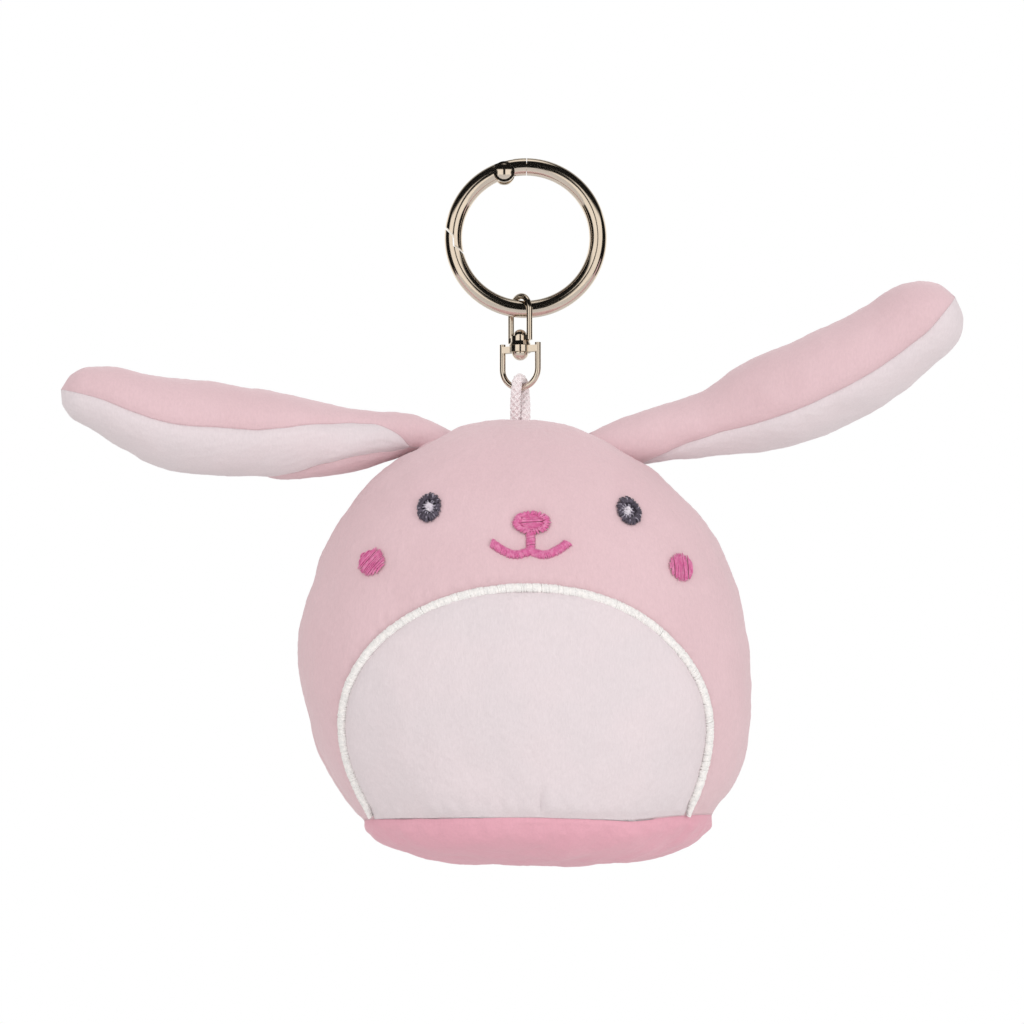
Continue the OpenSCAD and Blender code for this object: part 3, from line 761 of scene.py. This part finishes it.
def satin(threads, path, normals, width, rise, pitch, radius, seed, slant=0.0, taper=0.0, steps=7):
    """Satin stitch: threads side by side across a path, narrower near its ends by up to taper."""
    draw = np.random.default_rng(seed)
    run = np.concatenate([[0], np.cumsum(np.linalg.norm(np.diff(path, axis=0), axis=1))])
    places = np.arange(pitch / 2, run[-1], pitch)
    middle = np.stack([np.interp(places, run, path[:, k]) for k in range(3)], axis=1)
    above = np.stack([np.interp(places, run, normals[:, k]) for k in range(3)], axis=1)
    above = unit(averaged(above, 6))
    ahead = unit(np.gradient(middle, axis=0))
    across = unit(np.cross(ahead, above))
    u = np.linspace(-1, 1, steps)
    for k in range(len(places)):
        to_end = min(places[k], run[-1] - places[k])
        narrow = 1 - taper * max(0, 1 - to_end / 5) ** 2
        half = narrow * width / 2 * draw.uniform(0.92, 1.1)
        lift = rise * draw.uniform(0.85, 1.12)
        arch = lift * np.sqrt(np.maximum(1 - u**2, 0)) - 0.25 * u**2
        line = middle[k] + half * u[:, None] * across[k] + arch[:, None] * above[k]
        line = line + (slant * half * u + draw.normal(0, 0.03))[:, None] * ahead[k]
        threads.lay(line, np.repeat(above[k][None], steps, axis=0), radius)


BORDER_W = 1.9


def make_border():
    t = np.linspace(0.06, 2, 170)
    half, z = belly_edge(t)
    zs = np.concatenate([z, z[::-1]])
    xs = belly_middle(zs) + np.concatenate([-half, half[::-1]])
    path, normals = face.line(xs, zs, np.full(len(xs), 0.35))
    path, normals = smoothed(path, 3, 0), unit(smoothed(normals, 3, 0))
    threads = Threads()
    satin(threads, path, normals, BORDER_W, 0.65, 0.3, 0.21, 41, slant=0.15, taper=0.75)
    piece = threads.piece("belly_stitching", WHITE_THREAD, "white_thread")
    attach(piece, "plush")
    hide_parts("belly_border")


make_border()


# ---------------------------------------------------------------- face

def oval_ring(threads, centre, size, tilt, inner, outer, count, radius, rise, seed):
    """Threads laid from an inner to an outer oval, like the petals of a flower."""
    draw = np.random.default_rng(seed)
    c, s = math.cos(tilt), math.sin(tilt)
    for k in range(count):
        angle = 2 * math.pi * (k + draw.uniform(-0.2, 0.2)) / count
        bend = draw.normal(0, 0.1)
        r = np.linspace(inner * draw.uniform(0.85, 1.1), outer * draw.uniform(0.96, 1.03), 6)
        turn = angle + bend * np.linspace(0, 1, 6)
        u, v = size[0] * r * np.cos(turn), size[1] * r * np.sin(turn)
        lift = rise * np.sin(np.linspace(0.12, 0.95, 6) * math.pi) ** 0.6
        line, normals = face.line(centre[0] + u * c - v * s, centre[1] + u * s + v * c, lift)
        threads.lay(line, normals, radius)


def oval_fill(threads, centre, size, tilt, angle, pitch, radius, rise, seed, share=1.0):
    """Rows of threads at an angle across an oval."""
    draw = np.random.default_rng(seed)
    c, s = math.cos(tilt), math.sin(tilt)
    ca, sa = math.cos(angle), math.sin(angle)
    reach = share * max(size)
    for offset in np.arange(-reach, reach + pitch / 2, pitch):
        along = np.linspace(-reach, reach, 60)
        u = along * ca - offset * sa
        v = along * sa + offset * ca
        inside = (u / (share * size[0])) ** 2 + (v / (share * size[1])) ** 2 < 1
        if inside.sum() < 3:
            continue
        low, high = along[inside].min(), along[inside].max()
        low -= draw.uniform(-0.1, 0.35)
        high += draw.uniform(-0.1, 0.35)
        shift = draw.normal(0, 0.05)
        steps = np.linspace(low, high, 7)
        u = steps * ca - (offset + shift) * sa
        v = steps * sa + (offset + shift) * ca
        lift = rise * np.sin(np.linspace(0.1, 0.9, 7) * math.pi) ** 0.5 * draw.uniform(0.85, 1.15)
        line, normals = face.line(centre[0] + u * c - v * s, centre[1] + u * s + v * c, lift)
        threads.lay(line, normals, radius)


def make_eye(side, centre, glint, tilt, seed):
    dark = Threads()
    oval_fill(dark, centre, EYE_SIZE, tilt, 1.2, 0.3, 0.19, 0.3, seed, 0.9)
    oval_ring(dark, centre, EYE_SIZE, tilt, 0.5, 1.0, 40, 0.2, 0.75, seed + 1)
    piece = dark.piece(side + "_eye_stitching", PLUM_THREAD, "plum_thread")
    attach(piece, "plush")
    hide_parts(side + "_eye")
    light = Threads()
    oval_fill(light, glint, (0.85, 0.95), 0, -0.5, 0.24, 0.15, 0.95, seed + 2)
    piece = light.piece(side + "_glint_stitching", GLINT_THREAD, "white_thread")
    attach(piece, "plush")
    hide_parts(side + "_eye_glint")
    grey = Threads()
    oval_ring(grey, glint, (1.3, 1.6), tilt, 0.45, 1.15, 13, 0.13, 0.9, seed + 3)
    oval_ring(grey, centre, EYE_SIZE, tilt, 0.66, 0.94, 9, 0.12, 0.86, seed + 4)
    piece = grey.piece(side + "_eye_shading", GREY_THREAD, "plum_thread")
    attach(piece, "plush")


make_eye("left", LEFT_EYE, (LEFT_EYE[0] + 0.2, LEFT_EYE[1] - 0.2), LEFT_EYE_TILT, 51)
make_eye("right", RIGHT_EYE, (RIGHT_EYE[0] - 0.5, RIGHT_EYE[1] - 0.3), RIGHT_EYE_TILT, 61)


def make_nose():
    threads = Threads()
    oval_fill(threads, NOSE, NOSE_SIZE, 0, 0.05, 0.3, 0.18, 0.5, 71, 0.75)
    oval_ring(threads, NOSE, NOSE_SIZE, 0, 0.62, 1.0, 62, 0.19, 0.75, 72)
    piece = threads.piece("nose_stitching", ROSE_THREAD, "rose_thread")
    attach(piece, "plush")
    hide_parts("nose")


make_nose()


def make_mouth():
    threads = Threads()
    t = np.linspace(-1, 1, 60)
    low_share, rise, dip = 0.4, 2.4, 0.85
    a = np.abs(t)
    outer = rise * (np.maximum(a - low_share, 0) / (1 - low_share)) ** 1.5
    height = np.where(a > low_share, outer, dip * (1 - a / low_share) ** 2)
    path, normals = face.line(MOUTH_X + LIP_HALF * t, LIP_LOW_Z + height, np.full(60, 0.1))
    satin(threads, path, normals, 1.85, 0.55, 0.29, 0.18, 81, slant=0.35)
    zs = np.linspace(NOSE[1] - NOSE_SIZE[1] + 0.3, LIP_LOW_Z + dip, 14)
    path, normals = face.line(np.full(14, MOUTH_X + 0.2), zs, np.full(14, 0.12))
    satin(threads, path, normals, 1.8, 0.55, 0.29, 0.18, 82, slant=0.2)
    piece = threads.piece("mouth_stitching", ROSE_THREAD, "rose_thread")
    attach(piece, "plush")
    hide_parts("mouth")


make_mouth()


def make_cheek(side, centre, tilt, seed):
    threads = Threads()
    oval_fill(threads, centre, CHEEK_SIZE, tilt, 1.35, 0.3, 0.18, 0.6, seed, 0.95)
    piece = threads.piece(side + "_cheek_stitching", ROSE_THREAD, "rose_thread")
    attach(piece, "plush")
    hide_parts(side + "_cheek")


make_cheek("left", LEFT_CHEEK, -0.5, 91)
make_cheek("right", RIGHT_CHEEK, 0.3, 95)


# ---------------------------------------------------------------- ears

EAR_ROWS = 44
EAR_SIDE_COLS = 22
EAR_FINE = 3
# Points on the middle line of each ear, from the root to the tip, and half the ear's height there
LEFT_EAR = np.array([
    [-14, 0, -43.2, 3.0], [-22, 0, -39.8, 3.9], [-29, 0, -40.7, 5.3], [-37, -0.5, -41.4, 6.8],
    [-45, -1.5, -41.0, 8.4], [-53, -2.5, -40.3, 9.1], [-61, -4, -39.6, 9.5], [-69, -5.5, -38.8, 9.5],
    [-77, -7, -36.6, 8.2], [-84, -8, -34.2, 6.6], [-92.3, -9, -32.3, 4.3],
])
RIGHT_EAR = np.array([
    [14, 0, -44.0, 4.4], [22, 0, -41.4, 5.4], [30, -0.5, -39.4, 6.0],
    [38, -1, -37.5, 7.1], [48, -2.5, -34.4, 9.6], [58, -4.5, -30.6, 10.2],
    [68, -7, -25.8, 9.6], [77, -9, -19.8, 8.65], [85.2, -11, -14.0, 8.2],
])
# The two seams between an ear's panels: x, then the azimuth of each seam in degrees
LEFT_SEAMS = np.array([
    [-23.6, -55, -55], [-24.8, -22, -58], [-26.4, 6, -54], [-29.8, 25, -44], [-35.4, 31, -42], [-41, 20, -56],
    [-48.4, 4, -88], [-54.6, -4, -122], [-64, -7, -158], [-75, -10, -178], [-92, -6, -182],
])
RIGHT_SEAMS = np.array([
    [22, -80, -96], [26, -64, -128], [31, -44, -148], [38, -30, -152],
    [50, -27, -158], [78, -24, -160], [87, -10, -170],
])
# Depth of an ear as a share of its height, and how much closer its rows lie towards the tip
EAR_DEPTH = 1.12
TIP_CROWDING = 0.55


def ear_grids(stations, seams, count):
    """Points of both panels of an ear as one closed tube: lining columns first, then the outer's."""
    smooth = smoothed(stations, 40, 0)
    run = np.concatenate([[0], np.cumsum(np.linalg.norm(np.diff(smooth[:, :3], axis=0), axis=1))])
    total = run[-1]
    even = np.linspace(0, 1, count + 1)
    share = np.sin(even * math.pi / 2) * TIP_CROWDING + even * (1 - TIP_CROWDING)
    places = total * share
    middle = np.stack([np.interp(places, run, smooth[:, k]) for k in range(3)], axis=1)
    half = np.interp(places, run, smooth[:, 3])
    tip_r = smooth[-1, 3]
    left = np.maximum(total - places, 0)
    round_end = np.sqrt(np.clip(1 - (1 - np.clip(left / tip_r, 0, 1)) ** 2, 0.0004, 1))
    half = half * round_end
    ahead = unit(np.gradient(middle, axis=0))
    front = np.array([0, -1, 0]) - (ahead @ np.array([0, -1, 0]))[:, None] * ahead
    front = unit(front)
    up = np.cross(front, ahead)
    up = up * np.sign(up[:, 2:3])
    order = np.argsort(seams[:, 0])
    first = np.radians(np.interp(middle[:, 0], seams[order, 0], seams[order, 1]))
    second = np.radians(np.interp(middle[:, 0], seams[order, 0], seams[order, 2]))
    u = np.arange(EAR_SIDE_COLS) / EAR_SIDE_COLS
    lining = first[:, None] + (second - first)[:, None] * u
    outer = second[:, None] + (first - 2 * math.pi - second)[:, None] * u
    azimuth = np.concatenate([lining, outer], axis=1)
    grid = middle[:, None] + half[:, None, None] * (
        EAR_DEPTH * np.cos(azimuth)[..., None] * front[:, None] + np.sin(azimuth)[..., None] * up[:, None]
    )
    return grid, middle


def make_ear(side, stations, seams, seed):
    grid, middle = ear_grids(stations, seams, EAR_ROWS)
    rows, cols = grid.shape[:2]
    shrink = 0.97
    start = middle[:, None] + (grid - middle[:, None]) * shrink
    faces = grid_faces(rows, cols, wrap=True)
    faces += [[j for j in range(cols)], [(rows - 1) * cols + j for j in range(cols)][::-1]]
    pinned = [i * cols + j for i in range(rows) for j in (0, EAR_SIDE_COLS)]
    pinned += [i * cols + j for i in (0, 1, rows - 1) for j in range(cols)]
    blown = inflate(start.reshape(-1, 3), faces, pinned, 2.2, 1.0).reshape(rows, cols, 3)
    fine = smoothed(smoothed(blown, EAR_FINE, 1, closed=True), EAR_FINE, 0)
    line = smoothed(middle, EAR_FINE, 0)[:, None]
    cut = EAR_SIDE_COLS * EAR_FINE
    panels = {"lining": fine[:, :cut + 1], "outer": np.concatenate([fine[:, cut:], fine[:, :1]], axis=1)}
    looks = {"lining": (WHITE, "white_plush"), "outer": (PINK, "pink_plush")}
    gape = np.linalg.norm(fine[:, :1] - fine[:, cut:cut + 1], axis=-1)
    sewn_from = max(0, int(np.argmax(gape[:, 0] > 0.1)) - 1)
    for name, panel in panels.items():
        normals = unit(panel - line)
        edges = edge_distance(panel)
        sewn = np.clip(gape / 8, 0, 1)
        relief = 0.22 * waves(panel, 15, seed) + 0.07 * waves(panel, 6, seed + 1)
        relief += 0.03 * waves(panel, 1.8, seed + 2) + 0.02 * waves(panel, 1.1, seed + 3)
        relief -= sewn * (0.45 * bell(edges, 0.8) + 0.3 * bell(edges, 2.2))
        outer = panel + normals * relief[..., None]
        outer[-1] = line[-1]
        thick = np.minimum(0.9, 0.35 * np.linalg.norm(panel - line, axis=-1, keepdims=True))
        inner = outer - normals * thick
        if name == "lining":
            outer, inner = outer[sewn_from:], inner[sewn_from:]
        material, slot = looks[name]
        piece = shell(f"{side}_ear_{name}_panel", outer, inner, material)
        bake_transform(piece)
        nodes = [f"{side}_ear_{name}"] + ([f"{side}_ear_stuffing"] if name == "outer" else [])
        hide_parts(*nodes)


make_ear("left", LEFT_EAR, LEFT_SEAMS, 101)
make_ear("right", RIGHT_EAR, RIGHT_SEAMS, 111)


# ---------------------------------------------------------------- hardware

def plate(nodes, material):
    for node in nodes:
        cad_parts[node].data.materials.clear()
        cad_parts[node].data.materials.append(material)


plate(["ring_body", "hinge_block", "ring_gate", "gate_pin"], NICKEL)
plate(["swivel_bail", "swivel_rivet", "swivel_yoke"], NICKEL)
plate(["gate_plunger", "gate_spring"], STEEL)


# ---------------------------------------------------------------- stage and light

def make_floor():
    mesh = bpy.data.meshes.new("floor")
    reach, depth = 4.0, -1.4
    corners = [(-reach, -reach, depth), (reach, -reach, depth), (reach, reach, depth), (-reach, reach, depth)]
    mesh.from_pydata(corners, [], [(0, 1, 2, 3)])
    s = Shader("floor")
    tone = s.mix(s.spread(s.noise(300, 2), 0.3, 0.7), linear(236, 235, 234), linear(240, 239, 238))
    s.link(tone, s.surface.inputs["Base Color"])
    s.set(Roughness=0.8)
    mesh.materials.append(s.material)
    floor = bpy.data.objects.new("floor", mesh)
    scene.collection.objects.link(floor)


def make_lamp(name, place, size, power):
    """A soft box that lights the pile but does not show in what is shiny."""
    data = bpy.data.lights.new(name, "AREA")
    data.shape = "RECTANGLE"
    data.size, data.size_y = size
    data.energy = power
    lamp = bpy.data.objects.new(name, data)
    lamp.location = place
    lamp.rotation_mode = "QUATERNION"
    lamp.rotation_quaternion = (AIM - Vector(place)).to_track_quat("-Z", "Y")
    lamp.visible_glossy = False
    scene.collection.objects.link(lamp)


def make_world():
    """Soft even light, a white surround for the camera, and for what is shiny a dark room with soft boxes."""
    world = bpy.data.worlds.new("studio")
    scene.world = world
    world.use_nodes = True
    tree = world.node_tree
    tree.nodes.clear()
    link = tree.links.new

    def sky(colour, strength):
        node = tree.nodes.new("ShaderNodeBackground")
        node.inputs["Color"].default_value = colour
        node.inputs["Strength"].default_value = strength
        return node

    def math_node(operation, first, second):
        node = tree.nodes.new("ShaderNodeMath")
        node.operation = operation
        for socket, value in zip(node.inputs, (first, second)):
            if isinstance(value, float):
                socket.default_value = value
            else:
                link(value, socket)
        return node.outputs[0]

    def edge(source, dark, light):
        """A soft step from 0 where the source is dark to 1 where it is light."""
        node = tree.nodes.new("ShaderNodeMapRange")
        node.interpolation_type = "SMOOTHSTEP"
        node.inputs["From Min"].default_value = min(dark, light)
        node.inputs["From Max"].default_value = max(dark, light)
        node.inputs["To Min"].default_value = float(light < dark)
        node.inputs["To Max"].default_value = float(light > dark)
        link(source, node.inputs["Value"])
        return node.outputs["Result"]

    direction = tree.nodes.new("ShaderNodeSeparateXYZ")
    link(tree.nodes.new("ShaderNodeTexCoord").outputs["Generated"], direction.inputs[0])
    sideways = math_node("ABSOLUTE", direction.outputs["X"], 0.0)
    upright = math_node("ABSOLUTE", direction.outputs["Z"], 0.0)
    boxes = math_node("MULTIPLY", edge(sideways, 0.12, 0.2), edge(sideways, 0.86, 0.78))
    boxes = math_node("MULTIPLY", boxes, edge(upright, 0.5, 0.36))
    overhead = edge(upright, 0.93, 0.99)
    backdrop = math_node("MULTIPLY", edge(direction.outputs["Y"], 0.25, 0.75), 0.5)
    bright = math_node("MAXIMUM", math_node("MAXIMUM", boxes, overhead), backdrop)
    mirrored = sky((1, 0.95, 0.87, 1), 1.0)
    link(math_node("ADD", math_node("MULTIPLY", bright, 1.07), 0.006), mirrored.inputs["Strength"])
    rays = tree.nodes.new("ShaderNodeLightPath")
    first = tree.nodes.new("ShaderNodeMixShader")
    second = tree.nodes.new("ShaderNodeMixShader")
    link(rays.outputs["Is Glossy Ray"], first.inputs["Fac"])
    link(sky((1, 0.99, 0.985, 1), 0.83).outputs[0], first.inputs[1])
    link(mirrored.outputs[0], first.inputs[2])
    link(rays.outputs["Is Camera Ray"], second.inputs["Fac"])
    link(first.outputs[0], second.inputs[1])
    link(sky((1, 1, 1, 1), 1.0).outputs[0], second.inputs[2])
    link(second.outputs[0], tree.nodes.new("ShaderNodeOutputWorld").inputs["Surface"])


make_floor()
make_world()
make_lamp("key", (-0.5, -0.9, 0.35), (0.5, 0.7), 2.1)
make_lamp("fill", (0.75, -0.75, 0.1), (0.4, 0.7), 2.6)
make_lamp("bounce", (0.1, -0.6, -0.8), (0.7, 0.5), 1.3)
make_lamp("rim", (0.2, 0.7, 0.5), (0.5, 0.4), 1.2)
scene.view_settings.view_transform = "Standard"
